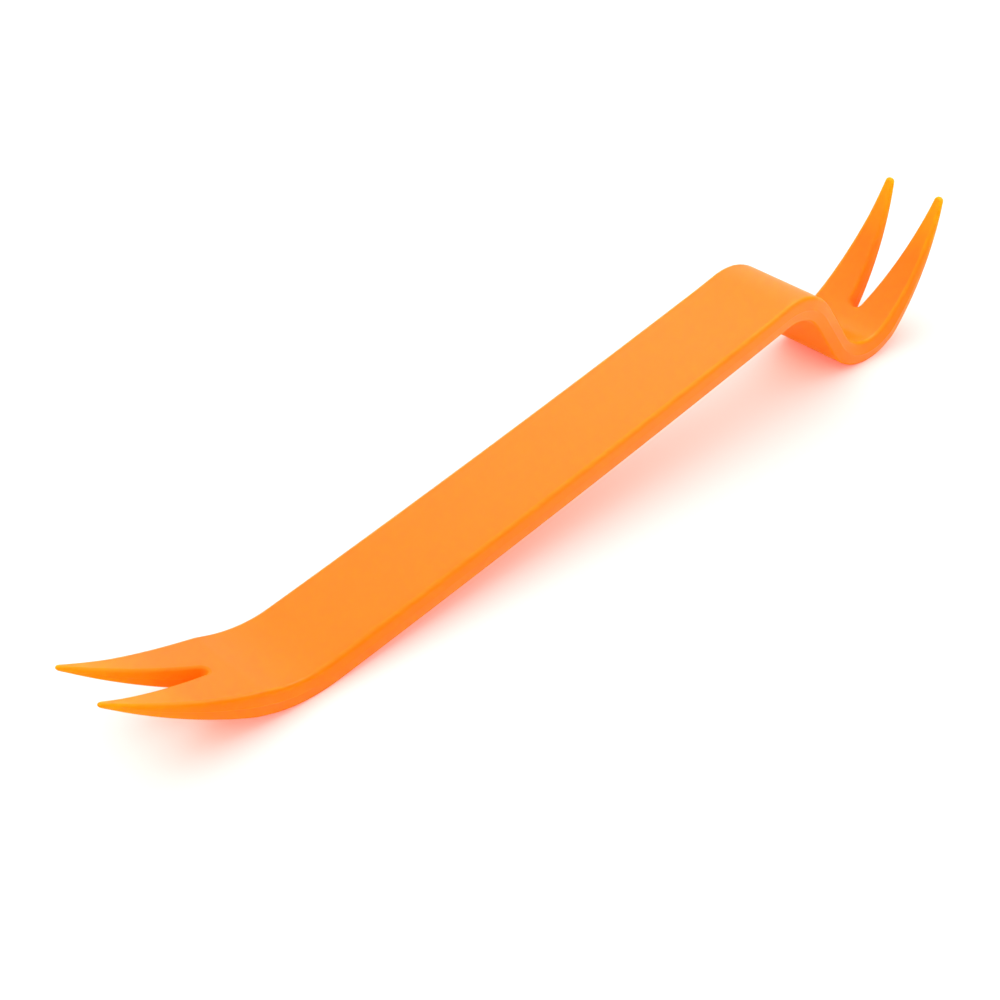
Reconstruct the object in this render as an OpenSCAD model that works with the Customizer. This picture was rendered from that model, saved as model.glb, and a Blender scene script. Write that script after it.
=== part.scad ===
// Trim removal tool: one moulded nylon pry bar with a shallow two-prong fork at one end
// and a hooked two-prong fork at the other. It lies on the bend of the shallow fork and on
// the trough of the hook. X runs from the shallow fork to the hook, Z is up, sizes in mm.

/* [Bar] */
// Length of the straight bar between the two bends
bar_l = 109; // [70:1:160]
// Width over the two sides
bar_w = 17.9; // [16:0.1:26]
// Thickness of the bar and of its bends
bar_t = 4.65; // [3:0.05:6]
// Sag of the bar's middle below a straight line between its ends
bar_sag = 0.6; // [0:0.05:2]
// Rounding of the long edges
edge_r = 0.45; // [0.3:0.05:1.2]
// How far the parting line stands out from the edges of the drafted sides
draft = 0.15; // [0:0.01:0.3]

/* [Shallow fork] */
// Radius of the bend between the bar and the fork, at half thickness
bend_r = 26; // [20:0.5:60]
// Angle of the bend
bend_a = 28.7; // [15:0.1:40]
// Length from the bend to the tips
fork_l = 31.1; // [28:0.1:45]
// Radius of the fork's upward curve, at half thickness
fork_r = 110; // [60:1:300]
// Depth of the notch from the tips to its root
fork_notch_l = 24.3; // [15:0.1:27]
// Angle of each notch flank to the middle plane
fork_notch_a = 10.5; // [4:0.1:11.5]
// Radius of the notch root
fork_root_r = 0.95; // [0.5:0.05:1.6]
// Length over which the prongs narrow and thin out
fork_taper_l = 28.5; // [20:0.5:30]
// Exponent of the outer edge's curve towards the tip
fork_curve = 1.3; // [1:0.05:2.5]
// Width of each tip
fork_tip_w = 0.65; // [0.4:0.05:1.5]
// Thickness of each tip
fork_tip_t = 0.75; // [0.4:0.05:1.5]

/* [Hooked fork] */
// Radius of the crest where the bar turns down, at half thickness
crest_r = 10.9; // [7:0.1:20]
// Angle of the turn down
crest_a = 67.5; // [50:0.5:85]
// Length of the straight slope between crest and trough
slope_l = 10.3; // [2:0.1:15]
// Radius of the trough that turns up again, at half thickness
trough_r = 11; // [8:0.1:20]
// Angle of the turn up
trough_a = 94.4; // [80:0.1:125]
// Length of the prongs from the trough to the tips
prong_l = 27.1; // [15:0.1:35]
// Radius of the prongs' upward curve, at half thickness
prong_r = 48; // [40:1:300]
// Depth of the notch from the tips to its root
hook_notch_l = 27.1; // [15:0.1:32]
// Angle of each notch flank to the middle plane
hook_notch_a = 8.5; // [4:0.1:10]
// Radius of the notch root
hook_root_r = 1.35; // [0.5:0.05:1.6]
// Length over which the prongs narrow and thin out
hook_taper_l = 28; // [20:0.5:36]
// Exponent of the outer edge's curve towards the tip
hook_curve = 1.2; // [1:0.05:2.5]
// Width of each tip
hook_tip_w = 1.5; // [0.5:0.05:2]
// Thickness of each tip
hook_tip_t = 1.05; // [0.5:0.05:1.8]

/* [Hidden] */
half_w = bar_w / 2;
// Length of the rounded tip ends
nose_l = 0.7;
// Plain run behind each notch root
land = 1.2;
// Largest share of a wall or prong that its rounding takes
edge_share = 0.42;
rad = PI / 180;

// Centre line from the shallow tips to the hooked tips, as runs of length and turn
fork_turn = fork_l / fork_r / rad;
prong_turn = prong_l / prong_r / rad;
bar_turn = 8 * bar_sag / bar_l / rad;
bend_l = bend_r * bend_a * rad;
crest_l = crest_r * crest_a * rad;
trough_l = trough_r * trough_a * rad;
runs = [
    [fork_l, fork_turn],
    [bend_l, bend_a],
    [bar_l, bar_turn],
    [crest_l, -crest_a],
    [slope_l, 0],
    [trough_l, trough_a],
    [prong_l, prong_turn]
];
hook_l = crest_l + slope_l + trough_l + prong_l;
total_l = fork_l + bend_l + bar_l + hook_l;
start_a = -fork_turn - bend_a - bar_turn / 2;

// Point and heading at distance s along the centre line
function along(s, i = 0, p = [0, 0], a = start_a) =
    let (last = i == len(runs) - 1)
    let (d = last ? s : min(s, runs[i][0]))
    let (turn = runs[i][1] * d / runs[i][0])
    let (chord = turn == 0 ? d : d * sin(turn / 2) / (turn / 2 * rad))
    let (q = p + chord * [cos(a + turn / 2), sin(a + turn / 2)])
    last || s <= runs[i][0] ? [q.x, q.y, a + turn] : along(s - runs[i][0], i + 1, q, a + turn);

// The two forks, each measured by the distance d from its own tips
NOTCH = 0;
ANGLE = 1;
ROOT = 2;
TAPER = 3;
CURVE = 4;
TIP_W = 5;
TIP_T = 6;
forks = [
    [fork_notch_l, fork_notch_a, fork_root_r, fork_taper_l, fork_curve, fork_tip_w, fork_tip_t],
    [hook_notch_l, hook_notch_a, hook_root_r, hook_taper_l, hook_curve, hook_tip_w, hook_tip_t]
];

// Share of the taper left at distance d from the tips
function taper(f, d, power) = pow(max(0, 1 - d / f[TAPER]), power);
function thick(f, d) = bar_t - (bar_t - f[TIP_T]) * taper(f, d, 1);

// Notch flank and outer edge, both set back by e into the material
function flank_y(f, d, e) = (f[ROOT] + e) / cos(f[ANGLE]) + (f[NOTCH] - f[ROOT] - d) * tan(f[ANGLE]);
function tip_y(f) = flank_y(f, 0, 0) + f[TIP_W];
function outer_y(f, d, e) = half_w - (half_w - tip_y(f)) * taper(f, d, f[CURVE]) - e;
function flank_end(f) = f[NOTCH] - f[ROOT] * (1 - sin(f[ANGLE]));

// Stations from tip to tip: fork, kind, place on the inner edge, place on the outer edge, nose
TIP = 0;
CORNER = 1;
MIDDLE = 2;
nose_steps = [35, 63];
flank_steps = 11;
root_steps = 6;
bend_steps = 14;
bar_steps = 7;
crest_steps = 12;
trough_steps = 12;
function gap_l(f) = f[NOTCH] + f[ROOT] + edge_r + land;
function tip_stations(n) =
    let (f = forks[n], end = flank_end(f), a = f[ANGLE])
    concat(
        [for (t = nose_steps) let (d = nose_l * (1 - cos(t))) [n, TIP, d, d, sin(t)]],
        [for (i = [0 : flank_steps]) let (d = nose_l + (end - nose_l) * i / flank_steps) [n, TIP, d, d, 1]],
        [for (i = [1 : root_steps])
            let (share = i / root_steps)
            [n, CORNER, a + (90 - a) * share, end + (f[NOTCH] + land - end) * share, 1]]
    );
function middle_stations(n, from, to, steps) =
    [for (i = [0 : steps]) let (d = from + (to - from) * i / steps) [n, MIDDLE, d, d, 1]];
bar_from = fork_l + bend_l;
bar_step = bar_l / bar_steps;
shallow = tip_stations(0);
hooked = tip_stations(1);
stations = concat(
    shallow,
    middle_stations(0, gap_l(forks[0]), bar_from, bend_steps),
    middle_stations(0, bar_from + bar_step, bar_from + bar_l - bar_step, bar_steps - 2),
    middle_stations(1, hook_l, hook_l - crest_l, crest_steps),
    middle_stations(1, prong_l + trough_l, gap_l(forks[1]), trough_steps),
    [for (i = [len(hooked) - 1 : -1 : 0]) hooked[i]]
);
first_root = len(shallow) - 1;
last_root = len(stations) - len(hooked);

// Stops around half a section: share of the width, set-back, drop from the face, side of the face
round_steps = [60, 30, 0];
face_steps = [0, 1 / 3, 2 / 3, 1];
function round_stop(v, t, side) = [v, 1 - cos(t), 1 - sin(t), side];
parting = -draft / edge_r;
outer_stops = concat(
    [for (v = face_steps) [v, 1, 0, 1]],
    [for (t = round_steps) round_stop(1, t, 1)],
    [[1, parting, 0, 0]],
    [for (i = [len(round_steps) - 1 : -1 : 0]) round_stop(1, round_steps[i], -1)],
    [for (i = [len(face_steps) - 1 : -1 : 0]) [face_steps[i], 1, 0, -1]]
);
inner_stops = concat(
    [for (t = round_steps) round_stop(0, t, -1)],
    [[0, parting, 0, 0]],
    [for (i = [len(round_steps) - 1 : -1 : 0]) round_stop(0, round_steps[i], 1)]
);
stops = concat(outer_stops, inner_stops);
open_n = len(outer_stops);
ring_n = len(stops);

// Place of a stop in the developed plan: distance from the tips and from the middle plane
function inner_at(st, e) =
    let (f = forks[st[0]])
    st[1] == TIP ? [st[2], flank_y(f, st[2], e)]
    : st[1] == CORNER ? [f[NOTCH] - f[ROOT], 0] + (f[ROOT] + e) * [sin(st[2]), cos(st[2])]
    : [st[2], 0];
function outer_at(st, e) = [st[3], outer_y(forks[st[0]], st[3], e)];
function edge_at(st) =
    let (f = forks[st[0]])
    let (wide = st[1] == TIP ? outer_y(f, st[2], 0) - flank_y(f, st[2], 0) : bar_w)
    min(edge_r, edge_share * thick(f, st[3]), edge_share * wide);
function point(st, stop) =
    let (f = forks[st[0]], r = edge_at(st), e = stop[1] * r)
    let (from = inner_at(st, e), to = outer_at(st, e))
    let (mid_y = (inner_at(st, 0).y + outer_at(st, 0).y) / 2)
    let (flat = from + stop[0] * (to - from))
    let (y = st[4] == 1 ? flat.y : mid_y + st[4] * (flat.y - mid_y))
    let (h = stop[3] * (thick(f, flat.x) / 2 - stop[2] * r) * st[4])
    let (c = along(st[0] == 0 ? flat.x : total_l - flat.x))
    [c.x - h * sin(c.z), y, c.y + h * cos(c.z)];
function apex(n) =
    let (f = forks[n], c = along(n * total_l))
    [c.x, (flank_y(f, 0, 0) + outer_y(f, 0, 0)) / 2, c.y];
raw = concat([for (st = stations) for (stop = stops) point(st, stop)], [apex(0), apex(1)]);

// Resting pose: the floor touches the bend's outside and the trough's outside
function arc_centre(s, r) = let (c = along(s)) [c.x, c.y] + r * [-sin(c.z), cos(c.z)];
bend_c = arc_centre(fork_l, bend_r);
trough_c = arc_centre(total_l - prong_l, trough_r);
between = trough_c - bend_c;
floor_a = atan2(between.y, between.x) - asin((trough_r - bend_r) / norm(between));
function laid(p) =
    [p.x * cos(floor_a) + p.z * sin(floor_a), p.y, p.z * cos(floor_a) - p.x * sin(floor_a)];
lying = [for (p = raw) laid(p)];
low_x = min([for (p = lying) p.x]);
high_x = max([for (p = lying) p.x]);
low_z = min([for (p = lying) p.z]);
half = [for (p = lying) p - [(low_x + high_x) / 2, 0, low_z]];

// Skin of both halves; they share the points of the middle plane between the notch roots
function shared(k, j) =
    k >= first_root && k <= last_root
    && (j == 0 || j == open_n - 1 || (j >= open_n && (k == first_root || k == last_root)));
function id(k, j, m) = (shared(k, j) ? 0 : m * len(half)) + k * ring_n + j % ring_n;
function apex_id(n, m) = m * len(half) + len(stations) * ring_n + n;
function turned(m, f) = m == 0 ? f : [f[2], f[1], f[0]];
function strip_n(k) = k >= first_root && k < last_root ? open_n - 1 : ring_n;
last_k = len(stations) - 1;
skin = [
    for (m = [0, 1])
        for (k = [0 : last_k - 1])
            for (j = [0 : strip_n(k) - 1])
                for (f = [
                    [id(k, j, m), id(k, j + 1, m), id(k + 1, j + 1, m)],
                    [id(k, j, m), id(k + 1, j + 1, m), id(k + 1, j, m)]
                ])
                    turned(m, f)
];
ends = [
    for (m = [0, 1])
        for (j = [0 : ring_n - 1])
            for (f = [
                [id(0, j + 1, m), id(0, j, m), apex_id(0, m)],
                [id(last_k, j, m), id(last_k, j + 1, m), apex_id(1, m)]
            ])
                turned(m, f)
];

module tool_body()
    color([1, 0.5, 0.13])
        polyhedron(
            points = concat(half, [for (p = half) [p.x, -p.y, p.z]]),
            faces = concat(skin, ends)
        );

tool_body();
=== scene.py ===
"""Trim removal tool: one moulded orange pry bar with a shallow fork and a hooked fork, lying on a
pale floor."""

import math

import bpy
import numpy as np
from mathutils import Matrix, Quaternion, Vector


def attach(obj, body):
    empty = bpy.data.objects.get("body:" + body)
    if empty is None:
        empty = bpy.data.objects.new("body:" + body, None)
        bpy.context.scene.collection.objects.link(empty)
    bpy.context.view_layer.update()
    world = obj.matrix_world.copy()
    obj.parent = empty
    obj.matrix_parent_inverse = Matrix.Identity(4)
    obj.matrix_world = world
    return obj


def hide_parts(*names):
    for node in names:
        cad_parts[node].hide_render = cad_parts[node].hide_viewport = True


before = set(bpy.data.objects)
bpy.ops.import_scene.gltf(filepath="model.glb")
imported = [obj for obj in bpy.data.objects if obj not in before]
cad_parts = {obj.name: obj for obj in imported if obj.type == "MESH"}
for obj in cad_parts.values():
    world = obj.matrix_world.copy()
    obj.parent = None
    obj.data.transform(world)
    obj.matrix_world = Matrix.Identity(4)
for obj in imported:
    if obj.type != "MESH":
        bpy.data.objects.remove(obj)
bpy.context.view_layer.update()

MM = 0.001

# Sizes of the tool, in millimetres, as in the part's source
BAR_L = 109.0
BAR_W = 17.9
BAR_T = 4.65
BAR_SAG = 0.6
EDGE_R = 0.45
EDGE_SHARE = 0.42
NOTCH_DRAFT = 0.15
NOSE_L = 0.7
LAND = 1.2
BEND_R = 26.0
BEND_A = math.radians(28.7)
FORK_L = 31.1
FORK_R = 110.0
CREST_R = 10.9
CREST_A = math.radians(67.5)
SLOPE_L = 10.3
TROUGH_R = 11.0
TROUGH_A = math.radians(94.4)
PRONG_L = 27.1
PRONG_R = 48.0

# The shallow fork first, the hooked fork second; distances run back from each fork's own tips
NOTCH_L = np.array([24.3, 27.1])
NOTCH_A = np.radians([10.5, 8.5])
ROOT_R = np.array([0.95, 1.35])
TAPER_L = np.array([28.5, 28.0])
CURVE = np.array([1.3, 1.2])
TIP_W = np.array([0.65, 1.5])
TIP_T = np.array([0.75, 1.05])

# Finish of the moulding, in millimetres: top edges and notch edges are rounder than the lower
# edges, the sides stand proud at mid height, more so on the shallow fork, and the top is a little
# fuller over the crest
TOP_EDGE_R = 0.9
NOTCH_EDGE_R = 0.6
SIDE_DRAFT = 0.36
FORK_PROUD = 0.2
CREST_RISE = 0.2
CREST_RISE_AT = 0.3
CREST_SPREAD = 9.0

# Lean of the upper and lower half of a side: outer side, outer side of the hook, notch wall. The
# hook's own lean starts at this share of the crest
SIDE_LEAN = np.radians([4.0, 8.0])
HOOK_LEAN = np.radians([14.0, 12.0])
NOTCH_LEAN = np.radians([14.0, 2.5])
HOOK_LEAN_FROM = 1 / 3
HOOK_EASE = 6.0

# The moulding line stands proud as a fine rib on the shallow fork and the hook
RIB_H = 0.05
RIB_W = 0.25

# A painted highlight on the rounded top edges is brightest this far down from the face, and weaker
# at the shallow end
HIGHLIGHT_AT = math.radians(20)
HIGHLIGHT_START = 0.2

# How far each fork's thin tips turn yellow, and how late along the taper
YELLOWING = np.array([0.70, 1.05])
YELLOW_POWER = np.array([1.0, 2.2])

# Painted light: the orange pales along the bar up to the crest, as the light on it grows, and
# deepens again on the hook
HOOK_DEEPER = 0.75

# The crest and the hooked prongs are a little matt; the crest's matt patch fades in over this
# length of bar
CREST_MATTE = 0.3
CREST_MATTE_L = 18.0
PRONG_MATTE = 0.6

# Steps of the finished surface, and the share of the width that holds a face flat up to its
# rounding
NOSE_STEPS = 6
FLANK_STEPS = 56
ROOT_STEPS = 22
BEND_STEPS = 40
BAR_STEPS = 54
CREST_STEPS = 36
SLOPE_STEPS = 8
TROUGH_STEPS = 44
ROUND_STEPS = 8
SIDE_STEPS = 5
FACE_STEPS = 6
HOLD = 0.02

# Kinds of station: beside the notch flank, around the notch root, across the full width
FLANK, ROOT, FULL = 0, 1, 2

# The root circle ends on the middle plane, within this angle
ROOT_END = np.pi / 2 - 1e-6

# Lengths and turns that follow from the sizes; a shallow bow turns by 8 times its sag / length
BEND_L = BEND_R * BEND_A
CREST_L = CREST_R * CREST_A
TROUGH_L = TROUGH_R * TROUGH_A
BAR_TURN = 8 * BAR_SAG / BAR_L
FORK_TURN = FORK_L / FORK_R
PRONG_TURN = PRONG_L / PRONG_R
HOOK_L = CREST_L + SLOPE_L + TROUGH_L + PRONG_L
BAR_END = FORK_L + BEND_L + BAR_L
TOTAL_L = BAR_END + HOOK_L
START_A = -FORK_TURN - BEND_A - BAR_TURN / 2
RUNS = (
    (FORK_L, FORK_TURN),
    (BEND_L, BEND_A),
    (BAR_L, BAR_TURN),
    (CREST_L, -CREST_A),
    (SLOPE_L, 0.0),
    (TROUGH_L, TROUGH_A),
    (PRONG_L, PRONG_TURN),
)


def centre_line(s):
    """Point and heading at arc length s from the shallow tips: each run is an arc whose chord is
    length * sin(turn / 2) / (turn / 2), laid at the heading of its middle."""
    left = np.array(s, float)
    x = np.zeros_like(left)
    z = np.zeros_like(left)
    heading = np.full_like(left, START_A)
    for length, turn in RUNS[:-1]:
        part = np.minimum(left, length)
        x, z, heading = arc_step(x, z, heading, part, turn * part / length)
        left = np.maximum(left - length, 0)
    length, turn = RUNS[-1]
    return arc_step(x, z, heading, left, turn * left / length)


def arc_step(x, z, heading, length, turn):
    """One arc of that length and turn, added to the point and heading."""
    chord = length * np.sinc(turn / (2 * np.pi))
    middle = heading + turn / 2
    return x + chord * np.cos(middle), z + chord * np.sin(middle), heading + turn


def taper(fork, d, power):
    """Share of the taper left at distance d from the tips: (1 - d / taper length) to a power."""
    return np.maximum(0, 1 - d / TAPER_L[fork]) ** power


def thickness(fork, d):
    """Thickness falls in a straight line from the bar's to the tip's over the taper."""
    return BAR_T - (BAR_T - TIP_T[fork]) * taper(fork, d, 1)


def flank(fork, d, back):
    """Notch flank: a straight line tangent to the root circle, set back into the material."""
    angle = NOTCH_A[fork]
    rise = (NOTCH_L[fork] - ROOT_R[fork] - d) * np.tan(angle)
    return (ROOT_R[fork] + back) / np.cos(angle) + rise


def outer_edge(fork, d, back):
    """Outer edge: half the width, less a power curve that brings it in to the tip."""
    tip = flank(fork, 0, 0) + TIP_W[fork]
    return BAR_W / 2 - (BAR_W / 2 - tip) * taper(fork, d, CURVE[fork]) - back


def rows(count, *columns):
    """A table of that many rows, where a column that is a single value is repeated."""
    return np.column_stack([column * np.ones(count) for column in columns])


def block(fork, kind, inner, outer, nose):
    """One run of stations, in columns: fork, kind, place on the inner edge, place on the outer
    edge, nose."""
    return rows(len(inner), fork, kind, inner, outer, nose)


def tip_stations(fork):
    """Stations from the tips to the notch root: a rounded nose, the flank, then the root circle by
    its angle."""
    angle = NOTCH_A[fork]
    end = NOTCH_L[fork] - ROOT_R[fork] * (1 - np.sin(angle))
    turn = np.linspace(0, np.pi / 2, NOSE_STEPS + 2)[1:-1]
    nose = NOSE_L * (1 - np.cos(turn))
    side = np.linspace(NOSE_L, end, FLANK_STEPS + 1)
    share = np.linspace(0, 1, ROOT_STEPS + 1)[1:]
    around = angle + (np.pi / 2 - angle) * share
    behind = end + (NOTCH_L[fork] + LAND - end) * share
    return np.concatenate([
        block(fork, FLANK, nose, nose, np.sin(turn)),
        block(fork, FLANK, side, side, 1),
        block(fork, ROOT, around, behind, 1),
    ])


def full_stations(fork, start, end, steps):
    """Stations across the full width, evenly from one distance to another."""
    d = np.linspace(start, end, steps + 1)
    return block(fork, FULL, d, d, 1)


def all_stations():
    """Every station from the shallow tips to the hooked tips, and the two notch roots' places in
    the list."""
    shallow, hooked = tip_stations(0), tip_stations(1)
    gap = NOTCH_L + ROOT_R + NOTCH_EDGE_R + LAND
    bar_from = FORK_L + BEND_L
    middle = np.concatenate([
        full_stations(0, gap[0], bar_from, BEND_STEPS),
        full_stations(0, bar_from, bar_from + BAR_L, BAR_STEPS)[1:-1],
        full_stations(1, HOOK_L, HOOK_L - CREST_L, CREST_STEPS),
        full_stations(1, HOOK_L - CREST_L, PRONG_L + TROUGH_L, SLOPE_STEPS)[1:-1],
        full_stations(1, PRONG_L + TROUGH_L, gap[1], TROUGH_STEPS),
    ])
    stations = np.concatenate([shallow, middle, hooked[::-1]])
    return stations, len(shallow) - 1, len(stations) - len(hooked)


def section_stops():
    """Stops around half a section: share of the width, upper or lower half, share of the rounding,
    share of the side's height, rib, painted edge highlight. They run over the top, down the outer
    side, under, and up the inner side. The painted highlight is the cosine of twice the angle from
    its brightest line. The second result is the number of stops before the inner side."""
    arc = np.linspace(1, 0, ROUND_STEPS + 1)[1:]
    face = np.concatenate([np.linspace(0, 1 - 3 * HOLD, FACE_STEPS), [1 - HOLD, 1]])
    down = np.append(np.linspace(1, 0, SIDE_STEPS + 1)[1:-1], RIB_W / BAR_T)
    glow = np.maximum(0, np.cos(2 * (np.pi / 2 * (1 - arc) - HIGHLIGHT_AT)))
    top = rows(len(face), face, 1, 1, 1, 0, 0)
    corner = rows(ROUND_STEPS, 1, 1, arc, 1, 0, glow)
    side = rows(len(down), 1, 1, 0, down, 0, 0)
    rib = np.array([[1, 1, 0, 0, 1, 0]])
    below = [1, -1, 1, 1, 1, 0]
    inner = [0, 1, 1, 1, 1, 0]
    wall = np.concatenate([corner, side, rib, side[::-1] * below, corner[::-1] * below])
    outer = np.concatenate([top, wall, top[::-1] * below])
    return np.concatenate([outer, wall[::-1] * inner]), len(outer)


def ramp(s, start, end):
    """A smooth rise from 0 at the start to 1 at the end: 3 u squared - 2 u cubed of the share u
    between."""
    share = np.clip((s - start) / (end - start), 0, 1)
    return share * share * (3 - 2 * share)


def hump(s, middle, spread):
    """A smooth rise from 0 at the spread before the middle to 1 at the middle, and the same fall
    after."""
    return ramp(spread - np.abs(s - middle), 0, spread)


def section(s, thick, width, stops, notch):
    """Set-back from the sharp side and height above the middle at each stop. The upper half of a
    side is crowned: its set-back grows with the square of the height up to the rounding, or in a
    straight line on the hook. The lower half falls back in a straight line. The roundings are
    tangent to both, and the rib stands proud. The upper half rises by a smooth hump over the
    crest."""
    _, half, arc, height, rib = (stops[None, :, i] for i in range(5))
    hook = ramp(s, BAR_END - HOOK_EASE, BAR_END + HOOK_EASE)
    hook = hook * (1 - ramp(s, TOTAL_L - PRONG_L, TOTAL_L))
    fork = 1 - ramp(s, FORK_L, FORK_L + HOOK_EASE)
    bend_in = ramp(s, BAR_END + HOOK_LEAN_FROM * CREST_L, BAR_END + CREST_L)
    bent = 0 * hook if notch else hook * bend_in
    upper, lower = NOTCH_LEAN if notch else SIDE_LEAN
    upper = upper + (HOOK_LEAN[0] - upper) * bent
    lower = lower + (HOOK_LEAN[1] - lower) * bent
    lean = np.where(half > 0, upper, lower)
    largest = np.where(half > 0, NOTCH_EDGE_R if notch else TOP_EDGE_R, EDGE_R)
    radius = np.minimum(largest, EDGE_SHARE * np.minimum(thick, width))
    reach = thick / 2 - radius * (1 - np.sin(lean))
    crown = height * height / 2 * (1 - bent) + height * bent
    fall = reach * np.tan(lean) * np.where(half > 0, crown, height)
    turn = lean + (np.pi / 2 - lean) * arc
    wider = SIDE_DRAFT + FORK_PROUD * (1 - ramp(s, FORK_L, FORK_L + BEND_L))
    proud = (NOTCH_DRAFT if notch else wider) * thick / BAR_T
    proud = proud + RIB_H * rib * np.maximum(hook, fork)
    back = fall - proud + radius * (np.cos(lean) - np.cos(turn))
    rise = CREST_RISE * hump(s, BAR_END + CREST_RISE_AT * CREST_L, CREST_SPREAD)
    full = np.where(half > 0, 1 + rise / (thick / 2), 1)
    return back, half * full * (height * reach + radius * (np.sin(turn) - np.sin(lean)))


def half_skin(stations, stops):
    """Points of one half: across the section the place runs from the inner edge to the outer edge,
    and both the width and the height are drawn in towards the tips by the nose. Their looks come
    with them."""
    fork = stations[:, :1].astype(int)
    kind, at_inner, at_outer, nose = (stations[:, i:i + 1] for i in range(1, 5))
    share = stops[None, :, 0]
    prong_w = outer_edge(fork, at_outer, 0) - flank(fork, at_outer, 0)
    width = np.where(kind == FLANK, prong_w, BAR_W)
    s = np.where(fork == 0, at_outer, TOTAL_L - at_outer)
    thick = thickness(fork, at_outer)
    back, height = section(s, thick, width, stops, False)
    notch_back, notch_height = section(s, thick, width, stops, True)
    root = ROOT_R[fork] + notch_back
    root_d = NOTCH_L[fork] - ROOT_R[fork] + root * np.sin(at_inner)
    root_y = np.where((kind == ROOT) & (at_inner < ROOT_END), root * np.cos(at_inner), 0)
    inner_d = np.where(kind == ROOT, root_d, at_inner)
    inner_y = np.where(kind == FLANK, flank(fork, at_inner, notch_back), root_y)
    outer_y = outer_edge(fork, at_outer, back)
    d = inner_d + share * (at_outer - inner_d)
    y = inner_y + share * (outer_y - inner_y)
    middle = (flank(fork, at_inner, 0) + outer_edge(fork, at_outer, 0)) / 2
    y = np.where(nose < 1, middle + nose * (y - middle), y)
    height = np.where(share > 0, height, notch_height) * nose * thickness(fork, d) / thick
    x, z, heading = centre_line(np.where(fork == 0, d, TOTAL_L - d))
    points = np.stack([x - height * np.sin(heading), y, z + height * np.cos(heading)], -1)
    looks = skin_looks(s, stops)
    looks["thinness"] = taper(fork, d, YELLOW_POWER[fork]) * YELLOWING[fork]
    return points, looks


def skin_looks(s, stops):
    """How much painted light, how matt and how much painted edge highlight the plastic gets, from 0
    to 1
    at each point: smooth rises along the tool. The painted light is left off the underside, the
    underside and the notch walls are matt, and the rib of the shallow fork gets a painted highlight
    as an edge does."""
    share, half, arc, _, rib, glow = (stops[None, :, i] for i in range(6))
    # Painted light along the bar, left off the underside; the same ramp strengthens the painted
    # edge highlight
    pale = ramp(s, FORK_L, BAR_END)
    past_crest = ramp(s, BAR_END + CREST_L / 2, BAR_END + CREST_L + SLOPE_L)
    crest = ramp(s, BAR_END - CREST_MATTE_L, BAR_END) * (1 - past_crest)
    prong = ramp(s, TOTAL_L - PRONG_L - TROUGH_L / 2, TOTAL_L - PRONG_L / 2)
    under = (half < 0) & (arc > 0)
    notch_wall = (share == 0) & (arc < 1)
    worn = np.maximum(CREST_MATTE * crest * arc, PRONG_MATTE * prong)
    # Painted highlight along the rounded top edges, weaker towards the shallow end, and on the
    # shallow fork's rib
    edge = (HIGHLIGHT_START + (1 - HIGHLIGHT_START) * pale) * glow
    rib_highlight = rib * (1 - ramp(s, FORK_L, FORK_L + BEND_L))
    return {
        "painted_light": pale * (1 - HOOK_DEEPER * past_crest) * ~under,
        "matte": np.where(under | notch_wall, 1, worn),
        "painted_edge_highlight": np.maximum(edge, rib_highlight),
    }


def tip_points():
    """The two points that close the noses, in the middle of each tip."""
    fork = np.array([0, 1])
    x, z, _ = centre_line(fork * TOTAL_L)
    return np.column_stack([x, (flank(fork, 0, 0) + outer_edge(fork, 0, 0)) / 2, z])


def arc_centre(s, radius):
    """Centre of an upward arc of that radius which passes through the centre line at s."""
    x, z, heading = centre_line(s)
    return np.array([x - radius * np.sin(heading), z + radius * np.cos(heading)])


def laid(points):
    """The tool at rest: turned until the outside circles of bend and trough touch the floor, and
    centred along X."""
    between = arc_centre(TOTAL_L - PRONG_L, TROUGH_R) - arc_centre(FORK_L, BEND_R)
    slope = np.arctan2(between[1], between[0])
    tilt = slope - np.arcsin((TROUGH_R - BEND_R) / np.hypot(*between))
    x = points[:, 0] * np.cos(tilt) + points[:, 2] * np.sin(tilt)
    z = points[:, 2] * np.cos(tilt) - points[:, 0] * np.sin(tilt)
    return np.column_stack([x - (x.min() + x.max()) / 2, points[:, 1], z - z.min()])


def half_faces(stations_n, stops_n, outer_n, first, last, mirror, half_n):
    """Quads between neighbouring stations and stops, and triangles that close the noses. The middle
    plane's points between the notch roots belong to both halves, and no inner side is made
    there."""
    k, j = np.meshgrid(np.arange(stations_n), np.arange(stops_n), indexing="ij")
    between = (k >= first) & (k <= last)
    seam = (j == 0) | (j == outer_n - 1) | ((j >= outer_n) & ((k == first) | (k == last)))
    ids = k * stops_n + j + np.where(between & seam, 0, mirror * half_n)
    after = np.roll(ids, -1, 1)
    quads = np.stack([ids[:-1], ids[1:], after[1:], after[:-1]], -1)
    inside = (k[:-1] >= first) & (k[:-1] < last) & (j[:-1] >= outer_n - 1)
    quads = quads[~inside]
    apex = mirror * half_n + stations_n * stops_n
    starts = np.column_stack([ids[0], after[0], np.full(stops_n, apex)])
    ends = np.column_stack([after[-1], ids[-1], np.full(stops_n, apex + 1)])
    triangles = np.concatenate([starts, ends])
    turn = -1 if mirror else 1
    return quads[:, ::turn], triangles[:, ::turn]


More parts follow.
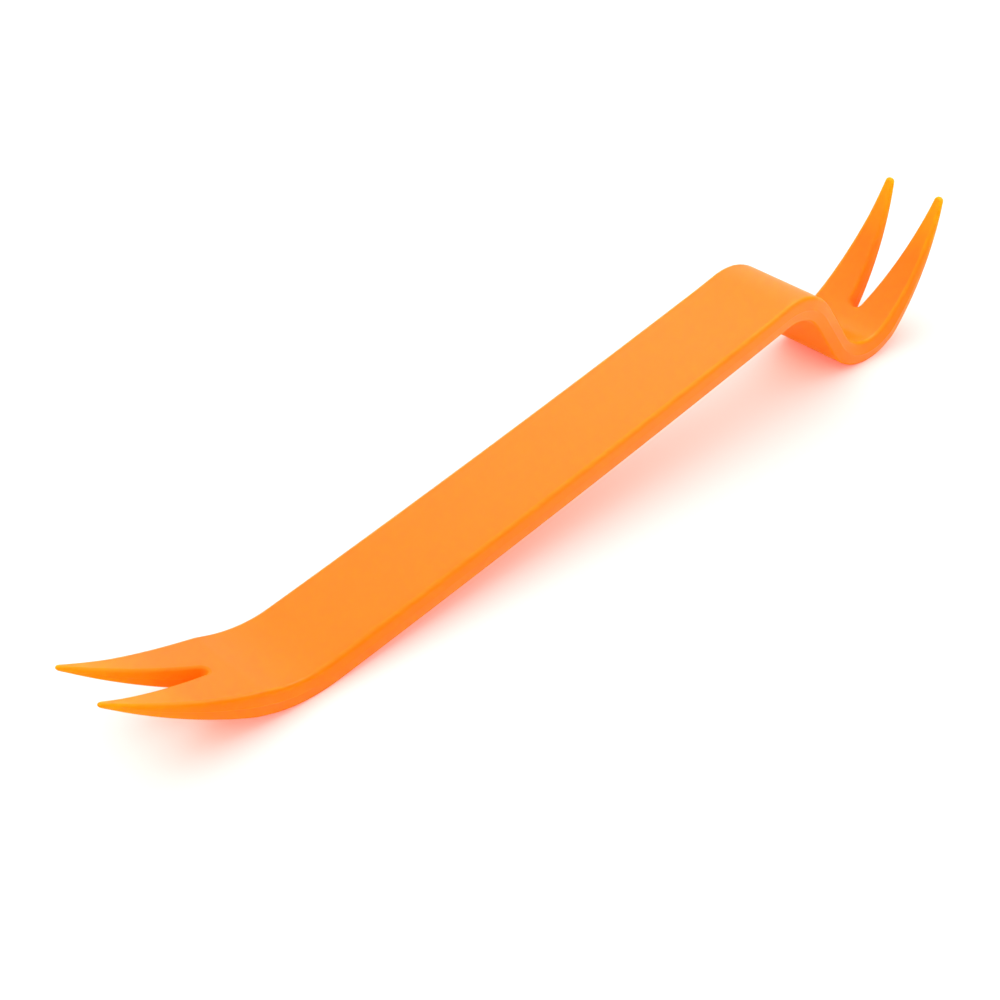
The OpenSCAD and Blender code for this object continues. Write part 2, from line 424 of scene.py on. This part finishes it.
def make_body():
    """The moulded body: a section of two rounded faces and drafted sides carried along the centre
    line, split by a V notch at each end, with the half at +Y mirrored to -Y."""
    stations, first, last = all_stations()
    stops, outer_n = section_stops()
    points, looks = half_skin(stations, stops)
    stations_n, stops_n = points.shape[:2]
    half = laid(np.concatenate([points.reshape(-1, 3), tip_points()])) * MM
    vertices = np.concatenate([half, half * [1, -1, 1]])
    counts = (stations_n, stops_n, outer_n, first, last)
    sides = [half_faces(*counts, mirror, len(half)) for mirror in (0, 1)]
    quads, triangles = (np.concatenate(groups) for groups in zip(*sides))
    used = np.zeros(len(vertices), bool)
    used[quads] = True
    used[triangles] = True
    renumber = np.cumsum(used) - 1
    faces = renumber[quads].tolist() + renumber[triangles].tolist()
    mesh = bpy.data.meshes.new("pry_bar_body")
    mesh.from_pydata(vertices[used].tolist(), [], faces)
    for name, values in looks.items():
        layer = mesh.attributes.new(name, "FLOAT", "POINT")
        half_values = np.append(values.ravel(), values[[0, -1], 0])
        layer.data.foreach_set("value", np.tile(half_values, 2)[used])
    mesh.polygons.foreach_set("use_smooth", np.ones(len(mesh.polygons), bool))
    mesh.update()
    body = bpy.data.objects.new("pry_bar_body", mesh)
    bpy.context.scene.collection.objects.link(body)
    return body


def node(tree, kind, at, **values):
    """A shader node at a place in the editor, with attributes and input values set by name."""
    made = tree.nodes.new(kind)
    made.location = at
    for name, value in values.items():
        if name in made.inputs:
            made.inputs[name].default_value = value
        else:
            setattr(made, name, value)
    return made


# A deeper orange towards the shallow fork and a lighter one towards the hook, a painted gradient of
# light whose lighter end also holds a little painted sheen in its blue; a painted yellow highlight
# on the top edges; and yellow where the moulding is thin, from this share of thinness on
DEEP_ORANGE = (1.0, 0.204, 0.001, 1.0)
LIGHT_ORANGE = (1.0, 0.236, 0.012, 1.0)
PAINTED_HIGHLIGHT_YELLOW = (1.0, 0.27, 0.002, 1.0)
THIN_YELLOW = (1.0, 0.40, 0.001, 1.0)
YELLOW_FROM = 0.25

# A painted red glow, from no lamp, lifts the red of the shaded sides and underside in place of
# light passing through the plastic
PAINTED_RED_GLOW = (1.0, 0.08, 0.0, 1.0)
PAINTED_GLOW_STRENGTH = 0.12

# Reflection at the surface, and how far each colour of light spreads under it, in metres
PLASTIC_IOR = 1.45
SHEEN = 0.16
SPREAD = 0.004
SPREAD_TINT = (1.0, 0.2, 0.04)

# Roughness varies a little from place to place, and is higher where the plastic is matt
CLOUD_SCALE = 60.0
CLOUD_DETAIL = 3.0
GLOSS_LEAST, GLOSS_MOST = 0.28, 0.33
MATT = 0.6

# The mould leaves a fine grain
GRAIN_SCALE = 2600.0
GRAIN_DETAIL = 2.0
GRAIN_STRENGTH = 0.15
GRAIN_DEPTH = 0.00002

# Sockets of a colour mix
FIRST_COLOUR, SECOND_COLOUR, MIXED_COLOUR = 6, 7, 2


def orange_plastic():
    """Satin nylon: a warm orange with a painted gradient of light along the bar and a painted
    highlight on its top edges, that yellows where the moulding is thin, with a painted red glow, a
    fine moulded grain and soft sheen."""
    material = bpy.data.materials.new("orange_nylon")
    material.use_nodes = True
    tree = material.node_tree
    shader = tree.nodes["Principled BSDF"]
    shader.inputs["IOR"].default_value = PLASTIC_IOR
    shader.inputs["Specular IOR Level"].default_value = SHEEN
    shader.inputs["Subsurface Weight"].default_value = 1.0
    shader.inputs["Subsurface Radius"].default_value = SPREAD_TINT
    shader.inputs["Subsurface Scale"].default_value = SPREAD
    # Painted red glow, from no lamp, over the whole body
    shader.inputs["Emission Color"].default_value = PAINTED_RED_GLOW
    shader.inputs["Emission Strength"].default_value = PAINTED_GLOW_STRENGTH
    link = tree.links.new

    # The painted light along the bar mixes the deeper orange into the lighter one
    along = node(tree, "ShaderNodeAttribute", (-1100, 750), attribute_name="painted_light")
    # The painted highlight of the top edges and the rib is mixed in as a paler yellow
    edge = node(tree, "ShaderNodeAttribute", (-1100, 550), attribute_name="painted_edge_highlight")
    thin = node(tree, "ShaderNodeAttribute", (-1100, 300), attribute_name="thinness")
    orange = node(tree, "ShaderNodeMix", (-700, 750), data_type="RGBA")
    highlighted = node(tree, "ShaderNodeMix", (-450, 600), data_type="RGBA")
    yellowing = node(tree, "ShaderNodeMapRange", (-700, 300), **{"From Min": YELLOW_FROM})
    colour = node(tree, "ShaderNodeMix", (-250, 400), data_type="RGBA")
    orange.inputs[FIRST_COLOUR].default_value = DEEP_ORANGE
    orange.inputs[SECOND_COLOUR].default_value = LIGHT_ORANGE
    highlighted.inputs[SECOND_COLOUR].default_value = PAINTED_HIGHLIGHT_YELLOW
    colour.inputs[SECOND_COLOUR].default_value = THIN_YELLOW
    link(along.outputs["Fac"], orange.inputs["Factor"])
    link(edge.outputs["Fac"], highlighted.inputs["Factor"])
    link(orange.outputs[MIXED_COLOUR], highlighted.inputs[FIRST_COLOUR])
    link(thin.outputs["Fac"], yellowing.inputs["Value"])
    link(yellowing.outputs["Result"], colour.inputs["Factor"])
    link(highlighted.outputs[MIXED_COLOUR], colour.inputs[FIRST_COLOUR])
    link(colour.outputs[MIXED_COLOUR], shader.inputs["Base Color"])

    place = node(tree, "ShaderNodeTexCoord", (-1100, 0))
    cloud = node(tree, "ShaderNodeTexNoise", (-900, 100), Scale=CLOUD_SCALE, Detail=CLOUD_DETAIL)
    limits = {"To Min": GLOSS_LEAST, "To Max": GLOSS_MOST}
    gloss = node(tree, "ShaderNodeMapRange", (-450, 0), **limits)
    matte = node(tree, "ShaderNodeAttribute", (-450, 150), attribute_name="matte")
    rough = node(tree, "ShaderNodeMix", (-250, 100), B=MATT)
    link(place.outputs["Object"], cloud.inputs["Vector"])
    link(cloud.outputs["Fac"], gloss.inputs["Value"])
    link(matte.outputs["Fac"], rough.inputs["Factor"])
    link(gloss.outputs["Result"], rough.inputs["A"])
    link(rough.outputs["Result"], shader.inputs["Roughness"])

    grain = node(tree, "ShaderNodeTexNoise", (-900, -200), Scale=GRAIN_SCALE, Detail=GRAIN_DETAIL)
    depth = {"Strength": GRAIN_STRENGTH, "Distance": GRAIN_DEPTH}
    bump = node(tree, "ShaderNodeBump", (-450, -250), **depth)
    link(place.outputs["Object"], grain.inputs["Vector"])
    link(grain.outputs["Fac"], bump.inputs["Height"])
    link(bump.outputs["Normal"], shader.inputs["Normal"])
    return material


# The floor: half its width and how far it lies under the tool, in metres, its paper, and a warm
# glow seen only by the camera and in reflections, which lifts the paper to white and paints a red
# tint into the tool's shadow
FLOOR_REACH = 2.0
FLOOR_DROP = 0.00005
FLOOR_PAPER = (0.80, 0.80, 0.80, 1.0)
WHITE_LIFT_AND_PAINTED_TINT = (1.0, 0.185, 0.13, 1.0)
FLOOR_LIFT = 0.6


def pale_floor():
    """A plain pale floor under the tool, which the camera and mirrors see as white paper with a
    painted red tint in the tool's shadow.
    """
    around = ((-1, -1), (1, -1), (1, 1), (-1, 1))
    corners = [(x * FLOOR_REACH, y * FLOOR_REACH, -FLOOR_DROP) for x, y in around]
    mesh = bpy.data.meshes.new("floor")
    mesh.from_pydata(corners, [], [(0, 1, 2, 3)])
    floor = bpy.data.objects.new("floor", mesh)
    bpy.context.scene.collection.objects.link(floor)
    material = bpy.data.materials.new("floor_paper")
    material.use_nodes = True
    tree = material.node_tree
    tree.nodes.clear()
    path = node(tree, "ShaderNodeLightPath", (-600, 300))
    mirrored = node(tree, "ShaderNodeMath", (-400, 300), operation="ADD")
    seen = node(tree, "ShaderNodeMath", (-200, 300), operation="ADD", use_clamp=True)
    paper = node(tree, "ShaderNodeBsdfDiffuse", (-400, 0), Color=FLOOR_PAPER)
    # A glow seen by the camera and in reflections: white on the open paper, a painted red tint in
    # the shadow
    bright = node(tree, "ShaderNodeEmission", (-400, -150), Color=WHITE_LIFT_AND_PAINTED_TINT, Strength=FLOOR_LIFT)
    lifted = node(tree, "ShaderNodeAddShader", (-200, -50))
    mix = node(tree, "ShaderNodeMixShader", (0, 50))
    out = node(tree, "ShaderNodeOutputMaterial", (200, 50))
    link = tree.links.new
    link(paper.outputs[0], lifted.inputs[0])
    link(bright.outputs[0], lifted.inputs[1])
    link(path.outputs["Is Glossy Ray"], mirrored.inputs[0])
    link(path.outputs["Is Transmission Ray"], mirrored.inputs[1])
    link(path.outputs["Is Camera Ray"], seen.inputs[0])
    link(mirrored.outputs[0], seen.inputs[1])
    link(seen.outputs[0], mix.inputs[0])
    link(paper.outputs[0], mix.inputs[1])
    link(lifted.outputs[0], mix.inputs[2])
    link(mix.outputs[0], out.inputs["Surface"])
    mesh.materials.append(material)
    return floor


# Light of the studio: an overhead dome with a stronger core, and a bright back, as strengths at
# their middles
OVERHEAD_AXIS = (0.0, 0.0, 1.0)
OVERHEAD = 1.2
OVERHEAD_CORE = 0.6
CORE_FROM = 0.4
BACK_AXIS = (0.0, 0.95, 0.31)
BACK = 0.72
WHITE = (1.0, 1.0, 1.0, 1.0)

# What the plastic mirrors: a bright panel at the back and a dark room in front
MIRROR_AXIS = (0.25, 0.55, 0.80)
MIRROR_FROM = 0.45
MIRROR_DARK = 0.04
MIRROR_BRIGHT = 2.6

# One softbox in front fills the near side, and a card off the hooked end draws the line along the
# near edge
FILL_PLACE = Vector((0.0, -0.45, 0.20))
FILL_SIZE = 0.35
FILL_POWER = 0.66
CARD_PLACE = Vector((0.295, -0.02, 0.38))
CARD_SIZE = 0.13
CARD_POWER = 0.75


def softbox(name, place, size, power):
    """A square lamp that faces the tool."""
    lamp = bpy.data.lights.new(name, "AREA")
    lamp.shape = "SQUARE"
    lamp.size = size
    lamp.energy = power
    holder = bpy.data.objects.new(name, lamp)
    holder.location = place
    holder.rotation_mode = "QUATERNION"
    holder.rotation_quaternion = place.to_track_quat("Z", "Y")
    bpy.context.scene.collection.objects.link(holder)
    return holder


def lobe(tree, place, axis, at, dark, bright, start=0.0):
    """Strength that rises from dark to bright as a direction nears an axis: a ramp of their dot
    product."""
    lean = node(tree, "ShaderNodeVectorMath", (-800, at), operation="DOT_PRODUCT")
    lean.inputs[1].default_value = axis
    limits = {"From Min": start, "To Min": dark, "To Max": bright}
    rise = node(tree, "ShaderNodeMapRange", (-600, at), **limits)
    tree.links.new(place.outputs["Generated"], lean.inputs[0])
    tree.links.new(lean.outputs["Value"], rise.inputs["Value"])
    return rise.outputs["Result"]


def studio():
    """A white world for the camera, a soft dome with a bright back for the light, a panel in a dark
    room for the plastic to mirror, and a fill and a card."""
    world = bpy.data.worlds.new("studio")
    bpy.context.scene.world = world
    world.use_nodes = True
    tree = world.node_tree
    tree.nodes.clear()
    link = tree.links.new
    place = node(tree, "ShaderNodeTexCoord", (-1000, -200))
    dome = lobe(tree, place, OVERHEAD_AXIS, 0, 0, OVERHEAD)
    core = lobe(tree, place, OVERHEAD_AXIS, -200, 0, OVERHEAD_CORE, CORE_FROM)
    back = lobe(tree, place, BACK_AXIS, -400, 0, BACK)
    mirrored = lobe(tree, place, MIRROR_AXIS, -600, MIRROR_DARK, MIRROR_BRIGHT, MIRROR_FROM)
    path = node(tree, "ShaderNodeLightPath", (-400, 300))
    overhead = node(tree, "ShaderNodeMath", (-400, -100), operation="ADD")
    soft = node(tree, "ShaderNodeMath", (-300, -250), operation="ADD")
    chosen = node(tree, "ShaderNodeMix", (-200, -300))
    seen = node(tree, "ShaderNodeBackground", (0, 0), Color=WHITE, Strength=1.0)
    room = node(tree, "ShaderNodeBackground", (0, -150), Color=WHITE)
    mix = node(tree, "ShaderNodeMixShader", (200, 0))
    out = node(tree, "ShaderNodeOutputWorld", (400, 0))
    link(dome, overhead.inputs[0])
    link(core, overhead.inputs[1])
    link(overhead.outputs[0], soft.inputs[0])
    link(back, soft.inputs[1])
    link(path.outputs["Is Glossy Ray"], chosen.inputs["Factor"])
    link(soft.outputs[0], chosen.inputs["A"])
    link(mirrored, chosen.inputs["B"])
    link(chosen.outputs["Result"], room.inputs["Strength"])
    link(path.outputs["Is Camera Ray"], mix.inputs[0])
    link(room.outputs[0], mix.inputs[1])
    link(seen.outputs[0], mix.inputs[2])
    link(mix.outputs[0], out.inputs["Surface"])
    softbox("fill", FILL_PLACE, FILL_SIZE, FILL_POWER).visible_glossy = False
    softbox("card", CARD_PLACE, CARD_SIZE, CARD_POWER).visible_diffuse = False


# Camera, fitted to the tool's outline in the picture: place in metres, lens and sensor in
# millimetres, nearest distance in metres
CAMERA_PLACE = Vector((-0.18867, -0.19761, 0.20329))
CAMERA_VIEW = Vector((0.53114, 0.60334, -0.59486))
CAMERA_ROLL = math.radians(-2.3)
CAMERA_LENS = 68.63
CAMERA_SENSOR = 36.0
CAMERA_NEAREST = 0.01


def camera():
    """The camera at the picture's angle."""
    data = bpy.data.cameras.new("camera")
    data.sensor_width = CAMERA_SENSOR
    data.lens = CAMERA_LENS
    data.clip_start = CAMERA_NEAREST
    holder = bpy.data.objects.new("camera", data)
    holder.location = CAMERA_PLACE
    holder.rotation_mode = "QUATERNION"
    aim = CAMERA_VIEW.to_track_quat("-Z", "Y")
    holder.rotation_quaternion = aim @ Quaternion((0, 0, 1), CAMERA_ROLL)
    bpy.context.scene.collection.objects.link(holder)
    bpy.context.scene.camera = holder


body = make_body()
body.data.materials.append(orange_plastic())
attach(body, "root")
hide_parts("tool_body")
pale_floor()
studio()
camera()
bpy.context.scene.view_settings.view_transform = "Standard"
